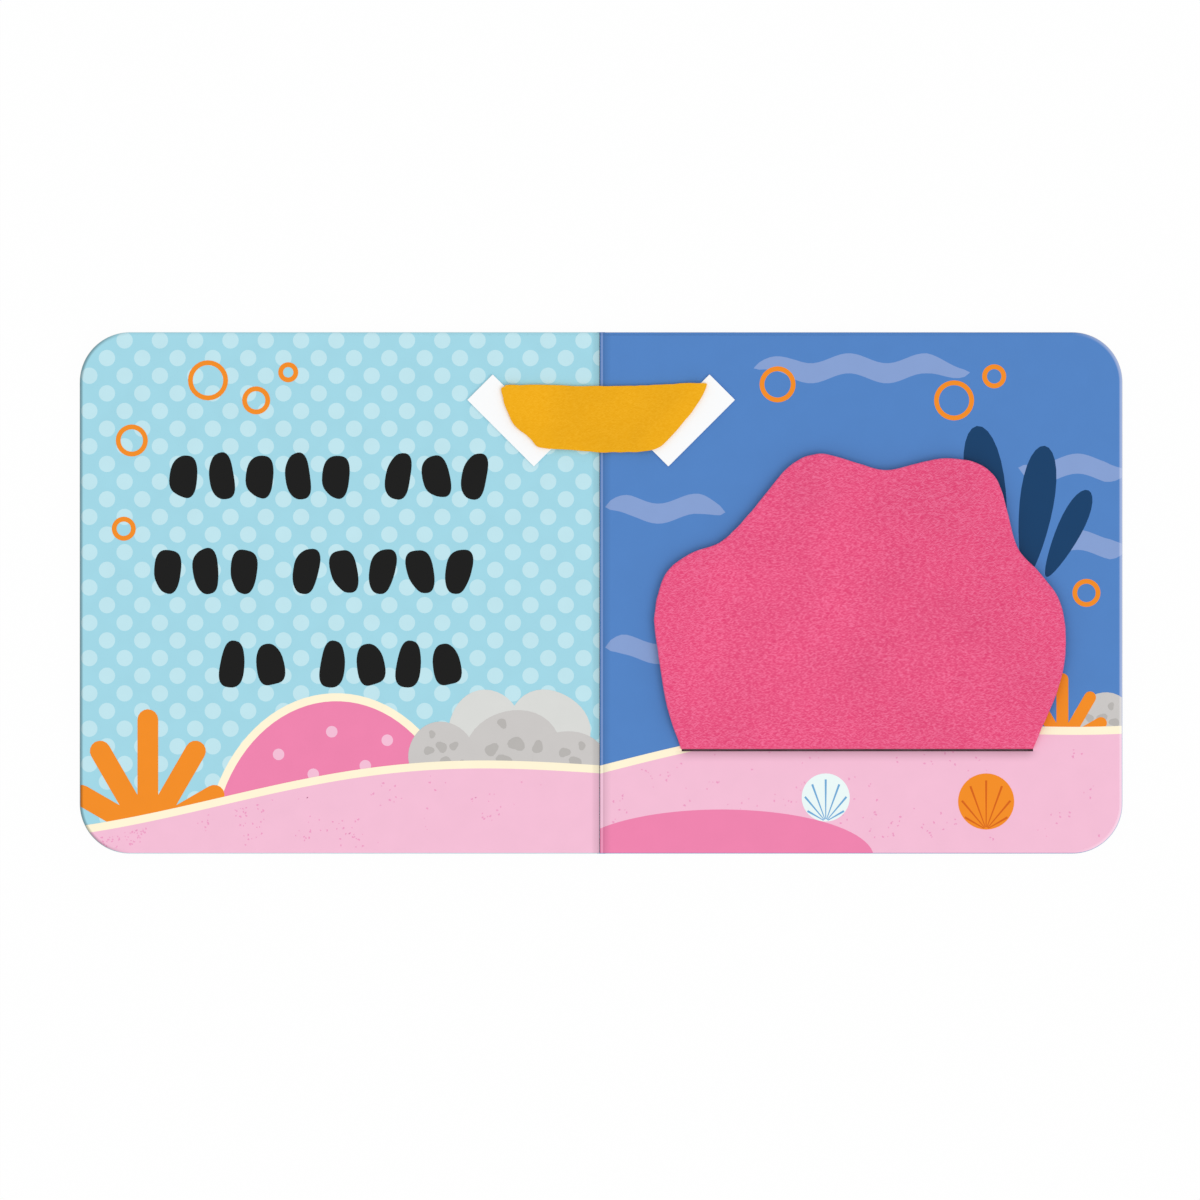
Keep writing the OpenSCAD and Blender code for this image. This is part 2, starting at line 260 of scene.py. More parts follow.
def tinted(hex_colour, factor):
    """The same colour a little lighter or darker."""
    return (*[min(1, c * factor) for c in linear(hex_colour)[:3]], 1)


def mixed(nodes, links, kind, first, second, factor=1.0):
    """Two colours mixed; the factor may be a number or another node's output."""
    mix = nodes.new("ShaderNodeMix")
    mix.data_type = "RGBA"
    mix.blend_type = kind
    for socket, value in (("Factor_Float", factor), ("A_Color", first), ("B_Color", second)):
        put = next(s for s in mix.inputs if s.identifier == socket)
        if isinstance(value, bpy.types.NodeSocket):
            links.new(value, put)
        else:
            put.default_value = value
    return next(s for s in mix.outputs if s.identifier == "Result_Color")


def toned(nodes, links, value, reach, unit, tones):
    """A grey tone that follows a value, which runs from minus to plus the reach."""
    fit = nodes.new("ShaderNodeMapRange")
    fit.inputs["From Min"].default_value = -reach
    fit.inputs["From Max"].default_value = reach
    links.new(value, fit.inputs["Value"])
    stops = [((x * unit / reach + 1) / 2, (tone, tone, tone, 1)) for x, tone in tones]
    return ramp(nodes, links, fit.outputs["Result"], stops)


def printed_board(name, hex_colour, fold=True):
    """Ink under a thin coat, on board whose grain just shows.

    On a page it carries painted shade along the fold and on the left rim, painted highlights beside
    the fold and on the right rim, and a painted shadow below the slot."""
    material, nodes, links, shader = graph(name, INK_ROUGH, INK_SHINE)
    shader.inputs["Coat Weight"].default_value = COAT_WEIGHT
    shader.inputs["Coat Roughness"].default_value = COAT_ROUGH
    patches = grain(nodes, links, PATCH_SCALE, 4)
    tone = ramp(nodes, links, patches, [
        (0.3, tinted(hex_colour, PATCH_DARK)), (0.7, tinted(hex_colour, PATCH_PALE)),
    ])
    if fold:
        place = nodes.new("ShaderNodeTexCoord")
        apart = nodes.new("ShaderNodeSeparateXYZ")
        links.new(place.outputs["Object"], apart.inputs["Vector"])
        across, along = apart.outputs["X"], apart.outputs["Y"]
        rim = nodes.new("ShaderNodeAttribute")
        rim.attribute_name = "rim"
        # A painted shadow on the page just below the slot.
        shadow_below_slot = mixed(nodes, links, "MULTIPLY", toned(nodes, links, along, half_h, MM, SLOT_SHADOW),
                       toned(nodes, links, across, page_w, MM, SLOT_SHADOW_ENDS))
        # Painted shade along the fold, a painted highlight beside it, painted shade on the left rim,
        # a painted highlight on the right rim, then the painted shadow below the slot, each over the
        # ink's colour.
        for way, other, share in (
                ("MULTIPLY", toned(nodes, links, across, CREASE_WIDE, MM, CREASE_SHADE), 1.0),
                ("MIX", linear(FOLD_LIGHT), toned(nodes, links, across, CREASE_WIDE, MM, FOLD_HIGHLIGHT)),
                ("MULTIPLY", toned(nodes, links, rim.outputs["Fac"], 1, 1, RIM_SHADE), 1.0),
                ("MIX", linear(RIM_LIGHT), toned(nodes, links, rim.outputs["Fac"], 1, 1, RIM_HIGHLIGHT)),
                ("MULTIPLY", (0, 0, 0, 1), shadow_below_slot)):
            tone = mixed(nodes, links, way, tone, other, share)
    links.new(tone, shader.inputs["Base Color"])
    relief(nodes, links, shader, grain(nodes, links, GRAIN_SCALE, 3), GRAIN_STRENGTH, GRAIN_DEPTH)
    return material


def cut_board(name, dark, pale):
    """The cut edge of the board: pulp in fine layers."""
    material, nodes, links, shader = graph(name, PULP_ROUGH, PULP_SHINE)
    layers = grain(nodes, links, PULP_SCALE, 3, stretch=PULP_STRETCH)
    tone = ramp(nodes, links, layers, [(0.3, linear(dark)), (0.7, linear(pale))])
    links.new(tone, shader.inputs["Base Color"])
    relief(nodes, links, shader, layers, PULP_STRENGTH, PULP_DEPTH)
    return material


def roll_rows(low, high, low_roll, high_roll):
    """A board's edge from its underside to its face: height, and how far it stands in."""
    turns = [math.pi / 2 * i / ROLL_STEPS for i in range(ROLL_STEPS + 1)]
    rows = [(low + low_roll * (1 - math.cos(a)), low_roll * (1 - math.sin(a))) for a in turns]
    rows += [(high - high_roll * (1 - math.cos(a)), high_roll * (1 - math.sin(a)))
             for a in turns[::-1]]
    return rows


def board_outline(start, inset):
    """A page's outline from the gutter round the two punched corners and back."""
    r = CORNER_R - inset
    line = [(start, inset - half_h)]
    for hand in (-1, 1):
        for i in range(CORNER_STEPS + 1):
            a = math.pi / 2 * (i / CORNER_STEPS + (hand - 1) / 2)
            line.append((page_w - CORNER_R + r * math.cos(a),
                         hand * (half_h - CORNER_R) + r * math.sin(a)))
    return line + [(start, half_h - inset)]


def loft(rows):
    """A closed stack of boards, from rows of height, inset and where the gutter side starts."""
    bm = bmesh.new()
    rings = [[bm.verts.new((x, y, z)) for x, y in board_outline(start, inset)]
             for z, inset, start in rows]
    for low_ring, high_ring in zip(rings, rings[1:]):
        for i in range(len(low_ring)):
            bm.faces.new((low_ring[i - 1], low_ring[i], high_ring[i], high_ring[i - 1]))
    bm.faces.new(rings[0])
    bm.faces.new(rings[-1])
    bmesh.ops.recalc_face_normals(bm, faces=bm.faces)
    return bm


def rim_drop(inset, roll):
    """How far a rolled rim has sunk at a distance from the edge, or stands in at a depth."""
    left_over = roll - min(max(inset, 0), roll)
    return roll - math.sqrt(roll ** 2 - left_over ** 2)


def dip(x):
    """How far the page sinks at a distance from the gutter."""
    return CREASE_DIP * math.exp(-((x / CREASE_SPREAD) ** 2))


def from_rim(spot):
    """How far inside the page's outline a spot lies, and how much the rim there faces sideways."""
    past = (spot.x - page_w + CORNER_R, abs(spot.y) - half_h + CORNER_R)
    if min(past) > 0:
        return CORNER_R - math.hypot(*past), past[0] / math.hypot(*past)
    side, end = page_w - spot.x, half_h - abs(spot.y)
    return min(side, end), float(side < end)


def mark_rim(bm, side):
    """Writes on each point how near a side rim it lies: up to 1 on the right page, -1 on the left."""
    # The rim value places the painted shade on the left rim and the painted highlight on the right
    # rim.
    layer = bm.verts.layers.float.new("rim")
    for vert in bm.verts:
        inset, sideways = from_rim(vert.co)
        near = max(0, 1 - inset / EDGE_ROLL) if vert.co.z > page_top - EDGE_ROLL - TINY else 0
        vert[layer] = near * sideways * (-1 if side == "left" else 1)


def cut_across(bm, faces, point, normal):
    """Cuts only these faces along a plane."""
    edges = list({e for f in faces for e in f.edges})
    verts = list({v for f in faces for v in f.verts})
    bmesh.ops.bisect_plane(bm, geom=list(faces) + edges + verts, dist=TINY / 10,
                           plane_co=point, plane_no=normal)


def slot_planes():
    """The four planes round the slot: a point and a normal each."""
    near, far = SLOT["x"], SLOT["x"] + SLOT["length"]
    low, high = SLOT["y"] - SLOT["width"], SLOT["y"]
    return [((near, 0, 0), (1, 0, 0)), ((far, 0, 0), (1, 0, 0)),
            ((0, low, 0), (0, 1, 0)), ((0, high, 0), (0, 1, 0))]


def in_slot(face):
    """Is the face over the slot?"""
    spot = face.calc_center_median()
    along = SLOT["x"] < spot.x < SLOT["x"] + SLOT["length"]
    return along and SLOT["y"] - SLOT["width"] < spot.y < SLOT["y"]


def sharpen(bm, limit=50):
    """Keeps the shading crisp where faces meet at more than the limit, in degrees."""
    for edge in bm.edges:
        edge.smooth = edge.calc_face_angle(0) < math.radians(limit)


def placed(bm, name, materials):
    """A new object from a finished mesh."""
    mesh = bpy.data.meshes.new(name)
    bm.to_mesh(mesh)
    bm.free()
    for material in materials:
        mesh.materials.append(material)
    piece = bpy.data.objects.new(name, mesh)
    scene.collection.objects.link(piece)
    return piece


def finish_boards(bm, name, side, body, node, inks):
    """Turns a stack of boards into a piece: colours, soft shading and its place in the book."""
    bmesh.ops.remove_doubles(bm, verts=bm.verts, dist=TINY / 4)
    mark_rim(bm, side)
    if side == "left":
        bmesh.ops.scale(bm, vec=(-1, 1, 1), verts=bm.verts)
    bmesh.ops.recalc_face_normals(bm, faces=bm.faces)
    for face in bm.faces:
        flat = abs(face.normal.z)
        middle = face.calc_center_median()
        face.material_index = 0 if flat > FACES_UP else 1
        # Faces inside the slot take the board painted dark as shade.
        if abs(middle.y - SLOT["y"] + SLOT["width"] / 2) < SLOT["width"] and flat < FACES_UP \
                or abs(middle.z - page_top + SLOT["deep"]) < TINY:
            face.material_index = 2
        face.smooth = flat < 0.999 or abs(middle.x) < CREASE_CUTS[-1]
    sharpen(bm)
    piece = placed(bm, name, inks)
    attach(piece, body)
    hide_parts(node)


core = cut_board("cut board edge", "#D9D6CE", "#F1EFEA")
# Inside the slot the board is given dark tones: painted shade of the deep narrow slot.
slot_shade_board = cut_board("slot board painted dark as shade", "#8C7981", "#A2929A")
cover_ink = printed_board("cover print", "#5082C4", fold=False)
page_inks = {"left": printed_board("left page print", "#A0D6E5"),
             "right": printed_board("right page print", "#5082C4")}
half = {"left": "front_half", "right": "back_half"}
for side, node in (("left", "front_cover"), ("right", "back_cover")):
    rows = [(z, inset, spine_gap) for z, inset in roll_rows(0, cover_t, EDGE_ROLL, SEAM_ROLL)]
    finish_boards(loft(rows), node + "_board", side, half[side], node,
                  [cover_ink, core])
for side, node in (("left", "left_leaves"), ("right", "right_leaves")):
    edge = []
    for i in range(leaf_count):
        upper_roll = EDGE_ROLL if i == leaf_count - 1 else SEAM_ROLL
        low = cover_t + i * leaf_t
        edge += roll_rows(low, low + leaf_t, SEAM_ROLL, upper_roll)[1 if i else 0:]
    flange_z = page_top - SHEET_T
    flange_inset = EDGE_ROLL - math.sqrt(EDGE_ROLL ** 2 - (EDGE_ROLL - SHEET_T) ** 2)
    rows = [(z, inset, spine_gap) for z, inset in edge if z < flange_z - TINY]
    start = GUTTER_REACH[side]
    rows += [(flange_z, flange_inset, spine_gap), (flange_z, flange_inset, start)]
    rows += [(z, inset, start + rim_drop(page_top - z, GUTTER_ROLL))
             for z, inset in edge if z > flange_z + TINY]
    bm = loft(rows)
    for x in CREASE_CUTS:
        upper = [f for f in bm.faces if f.calc_center_median().z > page_top - TINY]
        cut_across(bm, upper, (x, 0, 0), (1, 0, 0))
    if side == "right":
        for point, normal in slot_planes():
            upper = [f for f in bm.faces if f.calc_center_median().z > page_top - TINY]
            cut_across(bm, upper, point, normal)
        mouth = [f for f in bm.faces if f.calc_center_median().z > page_top - TINY and in_slot(f)]
        grown = bmesh.ops.extrude_face_region(bm, geom=mouth)["geom"]
        bmesh.ops.translate(bm, vec=(0, 0, -SLOT["deep"]),
                            verts=[g for g in grown if isinstance(g, bmesh.types.BMVert)])
        gone = [f for f in mouth if f.is_valid]
        bmesh.ops.delete(bm, geom=gone, context="FACES_ONLY")
    for vert in bm.verts:
        if vert.co.z > page_top - GUTTER_ROLL:
            vert.co.z -= dip(vert.co.x)
    finish_boards(bm, node + "_boards", side, half[side], node,
                  [page_inks[side], core, slot_shade_board])

# Print: fields of ink on both pages, each a very thin layer on the board's coated face.
# They show a plain sea floor. The shapes are drawn flat, trimmed to the page, cut where the
# slot is, and laid down over the rolled rim and into the crease.
INK_T = 0.007 * MM
INK_SUNK = 0.04 * MM
RIM_STEPS = [math.radians(a) for a in (0, 18, 36, 54)]
INKS = {
    "dot": "#BFE4ED", "wave": "#859FD1", "sand": "#F3BDD5", "cream": "#FFF4D6",
    "rose": "#EE82AD", "stone": "#C9C6C4", "pale stone": "#D8D9D6", "deep stone": "#B6B3B0",
    "dark": "#0A0A09", "navy": "#0A3C67", "orange": "#F28C1E", "pale blue": "#A2D9E7",
    "fleck": "#EC9DC3", "blue rib": "#6FA9D6", "orange rib": "#D4620F", "mint": "#EAF7F6",
}
DOT_D, DOT_PITCH = 4.1, 8.8
RING_STEPS = 28
SAND_H, DUNE_H, DUNE_L, CREAM_W = 20, 4.5, 190, 2
CLIMB = {"left": -11, "right": 14}
MOUND = (66, 31, 38)
MOUND_DOTS = [(-0.62, 0.55), (-0.25, 0.62), (0.04, 0.86), (0.2, 0.56), (0.5, 0.7), (-0.44, 0.8)]
MOUND_DOT_R, MOUND_SPREAD = 1.45, 0.93
LOW_MOUND = (30, 38, 11)
WAVE_W, WAVE_L, WAVE_STEPS = 5, 19, 14
WAVES = [(38, 92, 56), (1, 31, 21), (104, 131, 31), (1, 24, -14), (112, 131, 12)]
LEFT_STONES = [(22, 24, 12), (40, 25, 8), (8, 22, 9)]
PALE_STONES = [(29, 31, 9.5), (13, 31, 10)]
RIGHT_STONES = [(125, 32, 8)]
LEFT_BUBBLES = [(98, 53, 5), (86, 48, 3.5), (78, 55, 2.5), (117, 38, 4), (119, 16, 3)]
RIGHT_BUBBLES = [(44, 52, 4.5), (88, 48, 5), (98, 54, 3), (121, 0, 3.5)]
BUBBLE_LINE = 1.2
LEFT_CORAL, RIGHT_CORAL = (113, 5, 31), (115, 27, 18)
BLUE_SHELL, ORANGE_SHELL = (56, 14, 6), (96, 13, 7)
BLADES = [(99, -8, 38), (106, 8, 33), (111, 26, 24)]
BLADE_FOOT = 4
PEBBLE_ROWS = [(29, 104, (5, 3)), (5.5, 108, (3, 5)), (-18, 92, (2, 4))]
PEBBLE_STEP, WORD_GAP, PEBBLE_W, PEBBLE_H = 9.5, 6, 6.5, 11
PEBBLE_LEAN = (8, -10)
PEBBLE_STEPS, PEBBLE_ROUND = 36, 0.8
BLOTCH_COUNT, BLOTCH_TURN = 7, 2.4
FLECK_COUNT, FLECK_SIZES, FLECK_EDGE = 500, (0.12, 0.32), 1.5
FOOT = -half_h / MM
PAGE_MM = page_w / MM


def turned(points, degrees, x, y):
    """The points turned about the origin, then moved to a place."""
    c, s = math.cos(math.radians(degrees)), math.sin(math.radians(degrees))
    return [(x + c * a - s * b, y + s * a + c * b) for a, b in points]


def disc(x, y, r, steps=24, wobble=0.0, phase=0.0):
    """A round shape, with a wobble drawn by hand."""
    shape = []
    for i in range(steps):
        a = 2 * math.pi * i / steps
        reach = r * (1 + wobble * (math.sin(2 * a + phase) + 0.7 * math.sin(3 * a + 2.3 * phase)))
        shape.append((x + reach * math.cos(a), y + reach * math.sin(a)))
    return shape


def stadium(wide, long, steps=8):
    """An upright bar with round ends, its foot at the origin and its middle line on the y axis."""
    r = wide / 2
    head = [(r * math.cos(math.pi * i / steps), long - r + r * math.sin(math.pi * i / steps))
            for i in range(steps + 1)]
    foot = [(-x, r - (y - (long - r))) for x, y in head]
    return head + foot


def sand_line(side, x):
    """The height of the sand at a distance from the gutter."""
    swell = DUNE_H * math.sin(2 * math.pi * x / DUNE_L)
    return FOOT + SAND_H + CLIMB[side] * x / PAGE_MM + swell


def ground(side, above):
    """The sand and a strip above it, from the foot of the page."""
    top = [(x, sand_line(side, x) + above) for x in range(-2, int(PAGE_MM) + 4, 2)]
    return [(top[-1][0], FOOT - 2), (top[0][0], FOOT - 2)][::-1] + top[::-1]


def mound(x, reach, rise):
    """A hill that stands in the sand."""
    return [(x + reach * math.cos(math.radians(a)), FOOT - 1 + (rise + 1) * math.sin(math.radians(a)))
            for a in range(0, 181, 4)]


def mound_dots(x, reach, rise):
    """Dots strewn over the hill."""
    return [disc(x + MOUND_SPREAD * reach * across, FOOT + MOUND_SPREAD * rise * up, MOUND_DOT_R, 20)
            for across, up in MOUND_DOTS]


def dots():
    """Dots in staggered rows."""
    rows = int((2 * half_h / MM - SAND_H - CLIMB["left"] + DUNE_H) / DOT_PITCH * 2)
    return [disc(DOT_PITCH * (i + (0.5 if j % 2 == 0 else 0)),
                 half_h / MM - (DOT_D + DOT_PITCH * j) / 2, DOT_D / 2)
            for j in range(rows) for i in range(int(PAGE_MM / DOT_PITCH) + 2)]


def wave(start, end, y):
    """A band of water that swells and thins out at both ends."""
    steps = math.ceil((end - start) / WAVE_L * WAVE_STEPS)
    top, low = [], []
    for i in range(steps + 1):
        x = start + (end - start) * i / steps
        middle = y + WAVE_W / 4 * math.sin(2 * math.pi * x / WAVE_L)
        thick = WAVE_W / 2 * math.sqrt(min(1, 5 * i / steps, 5 * (steps - i) / steps))
        top.append((x, middle + thick))
        low.append((x, middle - thick))
    return top + low[-2:0:-1]


def ring(x, y, r, line):
    """A bubble, as quads round its rim."""
    outer, inner = disc(x, y, r, RING_STEPS), disc(x, y, r - line, RING_STEPS)
    return [[outer[i - 1], outer[i], inner[i], inner[i - 1]] for i in range(RING_STEPS)]


def coral(x, y, high):
    """Five branches from one foot."""
    return [turned(stadium(high / 6, high * (1 - abs(a) / 200)), -a, x, FOOT + y)
            for a in range(-60, 61, 30)]


def blade(x, lean, long):
    """A tall narrow leaf of weed."""
    shape = [(long / 8 * math.sin(math.radians(a)) * (1 - 0.3 * math.cos(math.radians(a))),
              long / 2 * (1 - math.cos(math.radians(a)))) for a in range(0, 360, 12)]
    return turned(shape, -lean, x, BLADE_FOOT)


def pebble(seed):
    """A flat pebble: an upright rounded bar, worn a little unevenly."""
    shape = []
    for i in range(PEBBLE_STEPS):
        a = 2 * math.pi * i / PEBBLE_STEPS
        worn = 1 + 0.07 * math.sin(2 * a + seed) + 0.05 * math.sin(3 * a + 2 * seed)
        across = math.copysign(abs(math.cos(a)) ** PEBBLE_ROUND, math.cos(a))
        up = math.copysign(abs(math.sin(a)) ** PEBBLE_ROUND, math.sin(a))
        shape.append((PEBBLE_W / 2 * worn * across, PEBBLE_H / 2 * worn * up))
    return shape


def pebbles():
    """Rows of dark pebbles, in two groups a row."""
    shapes = []
    for y, x, groups in PEBBLE_ROWS:
        for k, count in enumerate(groups):
            before = k * (groups[0] * PEBBLE_STEP + WORD_GAP)
            for i in range(count):
                lean = PEBBLE_LEAN[i % 2]
                middle = x - before - i * PEBBLE_STEP
                shapes.append(turned(pebble(middle + y), lean, middle, y))
    return shapes


def blotches(stones):
    """Darker patches on the stones."""
    shapes = []
    for x, y, r in stones:
        for k in range(BLOTCH_COUNT):
            a = BLOTCH_TURN * k + r
            away = r * (0.2 + 0.09 * k)
            shapes.append(disc(x + away * math.cos(a), FOOT + y + away * math.sin(a),
                               r * (0.17 - 0.012 * k), 14, 0.16, k))
    return shapes


def flecks(side):
    """Specks strewn on the sand, in loose clusters."""
    shapes = []
    chance = random.Random(CLIMB[side])
    for k in range(FLECK_COUNT):
        x = chance.uniform(3, PAGE_MM - 3)
        y = chance.uniform(FOOT + FLECK_EDGE, sand_line(side, x) - FLECK_EDGE)
        size = chance.uniform(*FLECK_SIZES)
        if noise.noise(Vector((x, y, CLIMB[side])) * 0.13) > 0.1:
            shapes.append(disc(x, y, size, 6, 0.3, k))
    return shapes


def shell_ribs(x, y, r):
    """Fine ribs that spread from the shell's hinge."""
    ribs = []
    for a in range(-60, 61, 20):
        long = 1.75 * r * math.cos(math.radians(a))
        rib = [(-0.1, 0.6), (0.1, 0.6), (0.26, long), (-0.26, long)]
        ribs.append(turned(rib, -a, x, FOOT + y - r))
    return ribs


def wobbly(stones):
    """Round stones, a little uneven."""
    return [disc(x, FOOT + y, r, 40, 0.035, x) for x, y, r in stones]


def lay_print(side, layers):
    """Trims the shapes of a page, thickens them and lays them on the board."""
    bm = bmesh.new()
    names = sorted({ink for _, ink, _ in layers})
    for level, ink, shapes in layers:
        for i, shape in enumerate(shapes):
            z = page_top + (level + i % 5 / 6) * INK_T
            face = bm.faces.new([bm.verts.new((x * MM, y * MM, z)) for x, y in shape])
            face.material_index = names.index(ink)
            if face.normal.z < 0:
                face.normal_flip()
    start = GUTTER_REACH[side]
    for turn in RIM_STEPS:
        trim = turn == RIM_STEPS[-1]
        inset = EDGE_ROLL * (1 - math.sin(turn))
        near = start + GUTTER_ROLL * (1 - math.sin(turn))
        planes = [((page_w - inset, 0, 0), (1, 0, 0)), ((0, half_h - inset, 0), (0, 1, 0)),
                  ((0, inset - half_h, 0), (0, -1, 0)), ((near, 0, 0), (-1, 0, 0))]
        for i in range(CORNER_STEPS):
            a = math.pi / 2 * (i + 0.5) / CORNER_STEPS
            for hand in (-1, 1):
                way = Vector((math.cos(a), hand * math.sin(a), 0))
                centre = Vector((page_w - CORNER_R, hand * (half_h - CORNER_R), 0))
                planes.append((centre + (CORNER_R - inset) * way, way))
        for point, normal in planes:
            bmesh.ops.bisect_plane(bm, geom=bm.verts[:] + bm.edges[:] + bm.faces[:],
                                   dist=TINY / 10, plane_co=point, plane_no=normal,
                                   clear_outer=trim)
    for x in CREASE_CUTS:
        cut_across(bm, bm.faces[:], (x, 0, 0), (1, 0, 0))
    if side == "right":
        for point, normal in slot_planes():
            cut_across(bm, bm.faces[:], point, normal)
        gone = [f for f in bm.faces if in_slot(f)]
        bmesh.ops.delete(bm, geom=gone, context="FACES")
    grown = bmesh.ops.extrude_face_region(bm, geom=bm.faces[:])["geom"]
    for vert in [g for g in grown if isinstance(g, bmesh.types.BMVert)]:
        vert.co.z = page_top - INK_SUNK
    for vert in bm.verts:
        vert.co.z -= dip(vert.co.x) + max(rim_drop(from_rim(vert.co)[0], EDGE_ROLL),
                                          rim_drop(vert.co.x - start, GUTTER_ROLL))
    mark_rim(bm, side)
    if side == "left":
        bmesh.ops.scale(bm, vec=(-1, 1, 1), verts=bm.verts)
    bmesh.ops.recalc_face_normals(bm, faces=bm.faces)
    for face in bm.faces:
        face.smooth = 0.3 < abs(face.normal.z) < 0.9999
    sharpen(bm)
    print_ = placed(bm, side + "_page_print", [inks[ink] for ink in names])
    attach(print_, half[side])
    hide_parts(side + "_leaves")


inks = {ink: printed_board(ink + " ink", tint) for ink, tint in INKS.items()}
lay_print("left", [
    (1, "dot", dots()),
    (2, "cream", [mound(MOUND[0], MOUND[1] + CREAM_W, MOUND[2] + CREAM_W)]),
    (3, "rose", [mound(*MOUND)]),
    (4, "sand", mound_dots(*MOUND)),
    (4, "orange", [q for b in LEFT_BUBBLES for q in ring(*b, BUBBLE_LINE)]),
    (4, "dark", pebbles()),
    (4, "pale stone", wobbly(PALE_STONES[:1])),
    (5, "pale stone", wobbly(PALE_STONES[1:])),
    (6, "stone", wobbly(LEFT_STONES[:1])),
    (7, "stone", wobbly(LEFT_STONES[1:2])),
    (8, "stone", wobbly(LEFT_STONES[2:])),
    (9, "deep stone", blotches(LEFT_STONES)),
    (4, "orange", coral(*LEFT_CORAL)),
    (10, "cream", [ground("left", CREAM_W)]),
    (11, "sand", [ground("left", 0)]),
    (12, "fleck", flecks("left")),
])
lay_print("right", [
    (1, "wave", [wave(*w) for w in WAVES]),
    (2, "navy", [blade(*b) for b in BLADES]),
    (2, "orange", [q for b in RIGHT_BUBBLES for q in ring(*b, BUBBLE_LINE)]),
    (3, "stone", wobbly(RIGHT_STONES)),
    (4, "deep stone", blotches(RIGHT_STONES)),
    (5, "orange", coral(*RIGHT_CORAL)),
    (6, "cream", [ground("right", CREAM_W)]),
    (7, "sand", [ground("right", 0)]),
    (8, "fleck", flecks("right")),
    (9, "rose", [mound(*LOW_MOUND)]),
    (10, "mint", [disc(BLUE_SHELL[0], FOOT + BLUE_SHELL[1], BLUE_SHELL[2], 40)]),
    (11, "blue rib", shell_ribs(*BLUE_SHELL)),
    (10, "orange", [disc(ORANGE_SHELL[0], FOOT + ORANGE_SHELL[1], ORANGE_SHELL[2], 40)]),
    (11, "orange rib", shell_ribs(*ORANGE_SHELL)),
])

# Felt flap: die-cut pink wool felt. Its foot is pressed thin and glued into the page's slot.
# The outline is a soft curve through its points, then the sheet is thickened and its rim rounded.
# Its edge is a little uneven, as cut by hand, and the same in each run.
FELT_T = 1.2 * MM
FLAP_OUTLINE = [
    (6.5, 0), (3, 14.5), (0.5, 36), (0, 46), (2.5, 59), (8.5, 66), (16.5, 70.5), (23.5, 80.5),
    (30.5, 92.5), (35, 98), (41, 100), (49, 97), (56.5, 94.5), (66, 97.5), (72, 98.5), (79, 96.5),
    (83.5, 90.5), (86, 79), (88.5, 67.5), (93.5, 60), (98.5, 50), (100, 37.5), (98.5, 22), (92, 0),
]
TONGUE_T = 0.9 * MM
TONGUE_PLAY = 0.12 * MM
FLAP_CELL = 2.0 * MM
FLAP_RIM, FLAP_HAND = 0.42 * MM, 0.12 * MM
FLAP_SWELL, SWELL_SCALE = 0.05 * MM, 90
HAND_SCALE = 420
FELT_ROUGH, FELT_SHINE = 0.95, 0.05
SHEEN_WEIGHT, SHEEN_ROUGH = 0.1, 0.6
FIBRE_SCALE = 4600
FIBRE_LONG = 5
FIBRE_SWIRL, SWIRL_SCALE = 0.4 * MM, 600
FIBRE_STOPS = (0.47, 0.57, 0.66)
FIBRE_DEPTH = 0.12 * MM
FELT_PATCH_SCALE, FELT_PATCH_TONES = 55, (0.95, 1.04)
FIBRE_TURNS = (0.1, 0.6, -0.45)
FOOT_BEND = 0.8 * MM
FLAP_LIFT = 0.95 * MM
LIFT_START, LIFT_LONG = 0.6 * MM, 7 * MM
HAND_SEED = 4
noise.seed_set(HAND_SEED)


def curve_point(a, b, c, d, t):
    """A point between b and c on a smooth curve through a, b, c and d."""
    return tuple(0.5 * (2 * q + (r - p) * t + (2 * p - 5 * q + 4 * r - s) * t * t
                        + (3 * q - p - 3 * r + s) * t ** 3) for p, q, r, s in zip(a, b, c, d))


def curved(points, closed, steps):
    """A smooth line through the points."""
    n = len(points)
    line = []
    for i in range(n if closed else n - 1):
        near = [points[(i + k) % n] if closed else points[min(max(i + k, 0), n - 1)]
                for k in (-1, 0, 1, 2)]
        line += [curve_point(*near, j / steps) for j in range(steps)]
    return line if closed else line + [points[-1]]


def flat_area(line):
    """The area inside a flat outline."""
    corners = zip(line, line[1:] + line[:1])
    return abs(sum(a[0] * b[1] - b[0] * a[1] for a, b in corners)) / 2


